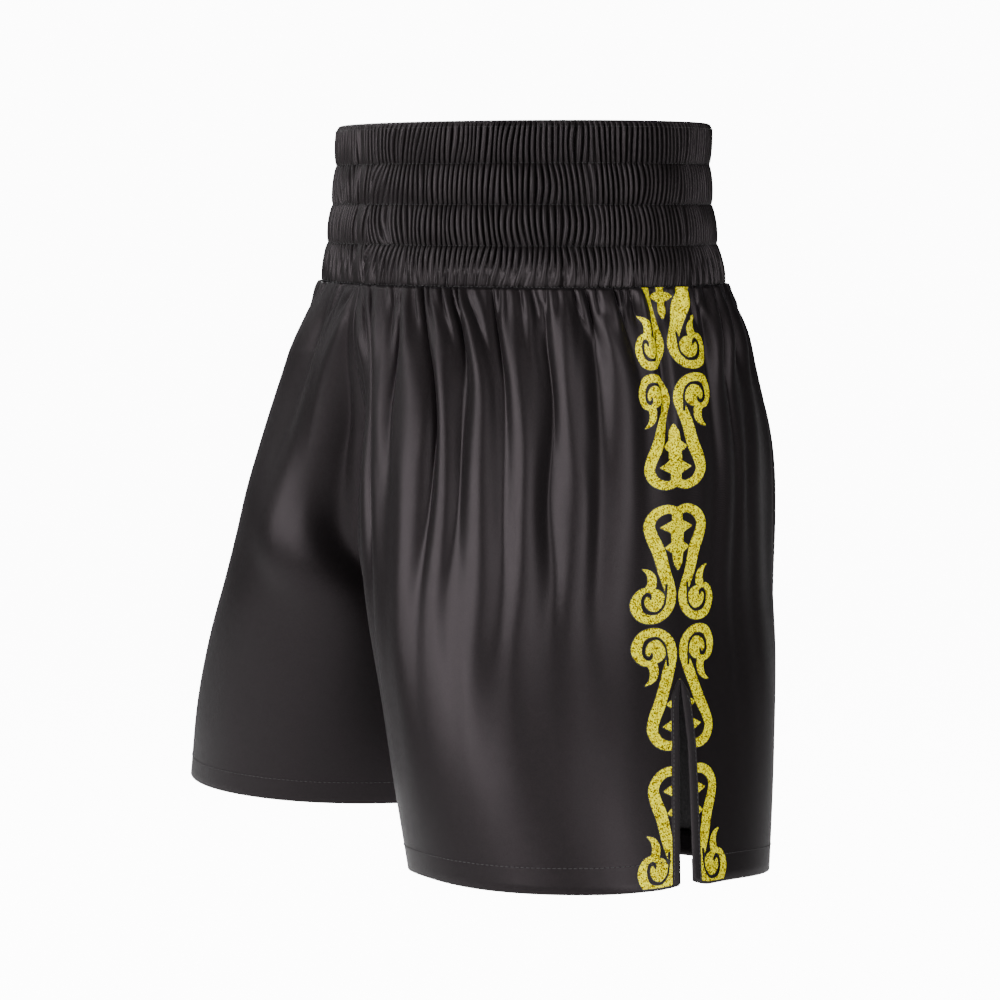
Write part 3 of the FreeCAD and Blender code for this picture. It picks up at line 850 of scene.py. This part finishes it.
def pinch(s, z):
    """Distance behind the side line of a point of a print that is drawn at s."""
    s = s * np.interp(z, *SPREAD)
    return np.where(s < 0, s * (1 - np.interp(z, *DRAWN_IN)), s)


def print_height(level_z, way, y):
    """Height on the cloth of the points at y in a print whose curls' edge is at level_z."""
    return level_z + way * y * MM * 0.992


def make_motif(panel, name, level_z, way, flap):
    """One print, ended at the waist seam, the hem and the slit's binding: gold over a dark outline."""
    z = print_height(level_z, way, GY)
    field = np.maximum(MOTIF_FIELD, (z - (WAIST - 0.0002)) / MM)
    field = np.maximum(field, (HEM + 0.0006 - z) / MM)
    if flap:
        field = np.maximum(field, -flap * GX + slit_room(z) / MM)

    def place(points, lift):
        x = np.interp(points[:, 0], np.arange(len(MOTIF_X)), MOTIF_X)
        y = np.interp(points[:, 1], np.arange(len(MOTIF_Y)), MOTIF_Y)
        height = print_height(level_z, way, y)
        p, n = panel.sample(pinch(x * MM, height), height, flap)
        return p + n * lift

    verts, faces, marks = [], [], []
    for limit, low, high, mat in PRINT_LAYERS:
        points, cells = region(field, limit)
        v, f = slab_mesh(place, points, cells, low, high)
        faces += [tuple(len(verts) + k for k in face) for face in f]
        verts += v.tolist()
        marks += [mat] * len(f)
    if way < 0:
        faces = [tuple(reversed(f)) for f in faces]
    obj = new_mesh(f"{panel.side}_print_{name}", verts, faces, panel.sign, flat=True)
    obj.data.polygons.foreach_set("material_index", marks)
    finish_leg_piece(obj, panel.side, [gold, outline], "glitter_print", f"{panel.side}_motif_{name}")


# ---------------------------------------------------------------- seams
RIDGE_SIDES = 8


def seam_ridge(points, normals, half, height):
    """Points and faces of a tube along a path, half wide to each side and height high along the normals."""
    along = np.gradient(points, axis=0)
    across = np.cross(normals, along)
    across /= np.linalg.norm(across, axis=-1, keepdims=True) + 1e-12
    rings = []
    for k in range(RIDGE_SIDES):
        t = math.tau * k / RIDGE_SIDES
        rings.append(points + across * math.cos(t) * half + normals * math.sin(t) * height)
    return np.array(rings).transpose(1, 0, 2), grid_faces(len(points), RIDGE_SIDES, wrap=True)


def make_seams(panels):
    """Centre seam front and back as overlocked allowances inside, and the inner leg seams."""
    left = panels["left"]
    crotch_y = RINGS[4, 2]  # the leg's centre at the crotch
    above = ROWS_Z > CROTCH + 0.0005
    for name, col, grid in (("front", 0, left.front), ("back", COLS - 1, left.back)):
        path = grid[above, col].copy()
        path[:, 0] = 0.0
        path = np.concatenate([path, [[0.0, crotch_y, CROTCH]]])
        inward = np.array([0.0, 1.0 if name == "front" else -1.0, 0.25])
        normal = np.broadcast_to(inward / np.linalg.norm(inward), path.shape)
        ridge = seam_ridge(path + normal * 0.0026, normal, 0.0007, 0.0024)
        obj = new_mesh(f"centre_seam_allowance_{name}", *ridge)
        finish_hip_piece(obj, thread, f"centre_seam_{name}")
    for side, panel in panels.items():
        below = ROWS_Z < CROTCH - 0.003
        path = (panel.front[below, 0] + panel.back[below, -1]) / 2
        normal = np.broadcast_to(np.array([1.0, 0.0, 0.0]), path.shape)
        ridge = seam_ridge(path + normal * 0.0024, normal, 0.0007, 0.0022)
        obj = new_mesh(f"{side}_inner_leg_seam", *ridge, panel.sign)
        finish_leg_piece(obj, side, [thread], "thread", f"{side}_inseam")


# ---------------------------------------------------------------- waistband
BAND_ROWS = 4
BAND_HIGH, ROW_HIGH = -WAIST, 0.025
PLEATS = 224
BAND_COLS = 11 * PLEATS
BAND_STEPS = 7200
ELASTIC_COLS = 360
BAND_IN = 0.0022  # how far the pleats' middle lies inside the band's outline
BAND_DEEP = 0.0046  # from the outer cloth to the inner cloth
RIM_STITCH = 0.12  # share of the first row's height that is above the top stitching


def band_ring(z):
    """Half width, half depth and centre of the band at a height."""
    down = np.clip(-z / BAND_HIGH, 0.0, 1.0)
    grow = down**1.9
    forward = 0.0016 * np.sin(math.pi * down)
    return 0.142 + 0.011 * grow, 0.110 + 0.011 * grow, -0.001 * grow - forward


def band_point(a, z, inset):
    """Point and outward normal at share a of the way round from the centre front."""
    hx, hy, cy = band_ring(z)
    hx, hy = hx - BAND_IN, hy - BAND_IN
    theta = band_angle(a)
    n = np.stack([np.sin(theta) / hx, -np.cos(theta) / hy, 0 * theta], axis=-1)
    n /= np.linalg.norm(n, axis=-1, keepdims=True)
    p = np.stack([hx * np.sin(theta), cy - hy * np.cos(theta), z + 0 * theta], axis=-1)
    return p - n * inset, n


MEAN_HALF_X, MEAN_HALF_Y = 0.1475, 0.1155  # the band's half width and half depth halfway down
fine_angle = np.linspace(0, math.tau, BAND_STEPS + 1)
fine_step = np.hypot(MEAN_HALF_X * np.cos(fine_angle[:-1]), MEAN_HALF_Y * np.sin(fine_angle[:-1]))
fine_run = np.concatenate([[0], np.cumsum(fine_step)])
BAND_LONG = float(fine_run[-1] * math.tau / BAND_STEPS)
fine_run /= fine_run[-1]


def band_angle(a):
    """Angle of the point at share a of the way round from the centre front."""
    return np.interp(np.mod(a, 1.0), fine_run, fine_angle)


def noise1(x, seed):
    """Smooth noise along a line."""
    return noise2(x, np.full_like(x, 0.5), seed)


def pleat_field(a, v, row):
    """Outward and sideways displacement of the shirred cloth; v runs down one row from 0 to 1.

    The band's own seam runs near the centre front, and the pleats die away beside it."""
    swell = np.sin(math.pi * np.clip(v, 0, 1))
    drift = []
    for seam in (row, row + 1):
        near = 0.50 * noise1(a * PLEATS / 3.1, 70 + seam)
        drift.append(near + 1.1 * noise1(a * PLEATS / 15.0, 80 + seam))
    mid = 0.38 * noise1(a * PLEATS / 2.3, 90 + row) + 0.4 * noise1(a * PLEATS / 8.0, 95 + row)
    lean = drift[0] * (1 - v) + drift[1] * v + mid * swell
    wider = 5 * np.tanh((np.mod(a + 0.5, 1.0) - 0.47) / 0.07)
    phase = math.tau * (a * PLEATS - wider + lean)
    vary = np.clip(0.85 + 0.45 * noise1(a * PLEATS / 1.3, 60 + row), 0.35, 1.25)
    seam_at = -0.007 - 0.014 * (1 - (row + v) / BAND_ROWS)
    across = (np.mod(a + 0.5, 1.0) - 0.5) * BAND_LONG - seam_at
    plain = smooth(np.abs(across), 0.0020, 0.0055)
    size = 0.00200 * vary * (0.66 + 0.34 * swell**0.6) * (0.12 + 0.88 * plain)
    merged = 0.0  # how far the pleats of the lowest row run together in pairs
    if row == BAND_ROWS - 1:
        merged = smooth(v, 0.1, 0.9) * (0.55 + 0.3 * noise1(a * PLEATS / 4.0, 55))
    every = 1 - 2 * (0.5 - 0.5 * np.cos(phase)) ** 2.0
    second = 1 - 2 * (0.5 - 0.5 * np.cos(phase / 2)) ** 2.6
    out = size * (every * (1 - merged) + 1.2 * second * merged)
    out = out + 0.0005 * swell * noise1(a * PLEATS / 5.0, 50 + row)
    out = out - 0.0006 * np.exp(-((across - 0.0030) / 0.0006) ** 2)
    along = 0.34 * BAND_LONG / PLEATS / math.tau * np.sin(phase) * (size / 0.0015) * (1 - merged)
    rise = np.cos(math.pi / 2 * v) if row == 0 else swell
    puff = 0.0012 * rise**0.7 - 0.0002 * np.clip(1 - 6 * rise, 0, 1)
    return out + puff, along


def ring_faces(rows, cols):
    """Faces of a closed ring, whose last row joins its first."""
    last = (rows - 1) * cols
    joins = [(last + c, c, (c + 1) % cols, last + (c + 1) % cols) for c in range(cols)]
    return grid_faces(rows, cols, wrap=True) + joins


def make_band_row(row):
    """One shirred row: a closed ring of cloth over its elastic."""
    a = np.arange(BAND_COLS) / BAND_COLS
    top = -ROW_HIGH * row
    outer_v = (1 - np.cos(np.linspace(0, math.pi, 17))) / 2
    rows = []
    for v in outer_v:
        z = top - ROW_HIGH * v
        out, along = pleat_field(a, v, row)
        if row == 0 and v < RIM_STITCH:
            out = 0.0010 + (out - 0.0010) * (0.30 + 0.70 * v / RIM_STITCH)
        p, n = band_point(a + along / BAND_LONG, z, 0.0)
        rows.append(p + n * out[:, None])
    for v in outer_v[::-1][::2]:
        z = top - ROW_HIGH * v
        out, along = pleat_field(a, v, row)
        p, n = band_point(a + along / BAND_LONG, z, BAND_DEEP)
        rows.append(p + n * (out * 0.60 - 0.0006)[:, None])
    grid = np.array(rows)
    if row == 0:
        lift = np.array([0.0, 0.0, 0.0009])
        crown = (grid[0] + grid[-1]) / 2 + lift
        inner, outer = ((crown + grid[k]) / 2 + lift * 0.3 for k in (-1, 0))
        grid = np.concatenate([grid, [inner, crown, outer]])
    obj = new_mesh(f"waistband_row_{row + 1}", grid, ring_faces(len(grid), BAND_COLS))
    finish_hip_piece(obj, band_satin, "waistband_casing")
    return obj


def make_elastic(row):
    """The knitted elastic inside one shirred row."""
    a = np.arange(ELASTIC_COLS) / ELASTIC_COLS
    top = -ROW_HIGH * row - 0.0022
    low = top - 0.0206
    heights = [top, (top + low) / 2, low]
    section = [(0.0024, z) for z in heights] + [(0.0034, z) for z in reversed(heights)]
    grid = np.array([band_point(a, z, inset)[0] for inset, z in section])
    obj = new_mesh(f"elastic_strip_{row + 1}", grid, ring_faces(len(section), ELASTIC_COLS))
    finish_hip_piece(obj, elastic, f"elastic_row_{row + 1}")


def band_stitches(name, row, v, node):
    """A row of stitches round the band, at share v of a row's height."""
    a = np.arange(0, 4001) / 4000
    out, along = pleat_field(a, v, row)
    p, n = band_point(a + along / BAND_LONG, -ROW_HIGH * (row + v), 0.0)
    path = p + n * (out + 0.0001)[:, None]
    verts, faces = stitches(path, n, pitch=0.0026, length=0.0019, half=0.00022)
    finish_hip_piece(new_mesh(name, verts, faces), thread, node)


# ---------------------------------------------------------------- build
panels = {side: Panel(side) for side in SIDES}
for side, panel in panels.items():
    make_panel(panel)
    hem_stitches(panel)
    make_bindings(panel)
    for name, level_z, way, flap in MOTIFS:
        make_motif(panel, name, level_z, way, flap)
make_seams(panels)
bands = [make_band_row(row) for row in range(BAND_ROWS)]
band_stitches("rim_stitches", 0, RIM_STITCH, "top_stitch_row")
for row in range(1, BAND_ROWS):
    band_stitches(f"row_stitches_{row}", row, 0.0, f"channel_stitch_{row}")
band_stitches("waist_seam_stitches", BAND_ROWS - 1, 0.985, "waist_seam")
for row in range(BAND_ROWS):
    make_elastic(row)


# ---------------------------------------------------------------- floor, light
def seen_by_camera(tree, light, shown):
    """One strength for lighting the garment, another for the white the camera sees."""
    path = tree.nodes.new("ShaderNodeLightPath")
    pick = add(tree, "ShaderNodeMapRange", Value=path.outputs["Is Camera Ray"], To_Min=light, To_Max=shown)
    return pick.outputs["Result"]


def floor_nodes(tree, shader, place):
    """A pale, nearly even floor that the camera sees as white."""
    noise = add(tree, "ShaderNodeTexNoise", place, Scale=6.0, Detail=2.0)
    colour = ramp(tree, noise.outputs["Fac"], [(0.2, (0.93, 0.93, 0.93)), (0.8, (0.95, 0.95, 0.95))])
    tree.links.new(colour, shader.inputs["Base Color"])
    shader.inputs["Roughness"].default_value = 1.0
    shader.inputs["Specular IOR Level"].default_value = 0.0
    shader.inputs["Emission Color"].default_value = (1.0, 1.0, 1.0, 1.0)
    seen = seen_by_camera(tree, 0.20, 12.0)
    tree.links.new(seen, shader.inputs["Emission Strength"])


FLOOR_Z, FLOOR_REACH = -0.95, 30
corners = [(x * FLOOR_REACH, y * FLOOR_REACH, FLOOR_Z) for x, y in ((-1, -1), (1, -1), (1, 1), (-1, 1))]
floor = new_mesh("floor", corners, [(0, 1, 2, 3)])
floor.data.materials.append(material("floor", floor_nodes))


AIM = np.array([0.0, 0.0, -0.22])  # the garment's middle


def area_light(name, azimuth, elevation, distance, size, power):
    """A soft panel aimed at the garment; azimuth 0 is in front."""
    lamp = bpy.data.lights.new(name, "AREA")
    lamp.shape = "DISK"
    lamp.size = size
    lamp.energy = power
    a, e = math.radians(azimuth), math.radians(elevation)
    place = np.array([math.sin(a) * math.cos(e), -math.cos(a) * math.cos(e), math.sin(e)]) * distance
    place += AIM
    aim = AIM - place
    aim /= np.linalg.norm(aim)
    side = np.cross(aim, up)
    side /= np.linalg.norm(side)
    obj = bpy.data.objects.new(name, lamp)
    spin = Matrix((side, np.cross(side, aim), -aim)).transposed().to_4x4()
    spin.translation = place
    obj.matrix_world = spin
    bpy.context.scene.collection.objects.link(obj)


area_light("key", 8, 18, 2.6, 1.5, 96)
area_light("fill", 92, 8, 3.0, 1.8, 66)
area_light("back", 245, 30, 3.0, 1.6, 60)
area_light("back_left", 300, 25, 3.0, 1.6, 14)

world = bpy.data.worlds.new("studio")
world.use_nodes = True
world.node_tree.nodes["Background"].inputs["Color"].default_value = (1, 1, 1, 1)
seen = seen_by_camera(world.node_tree, 0.05, 12.0)
world.node_tree.links.new(seen, world.node_tree.nodes["Background"].inputs["Strength"])
bpy.context.scene.world = world
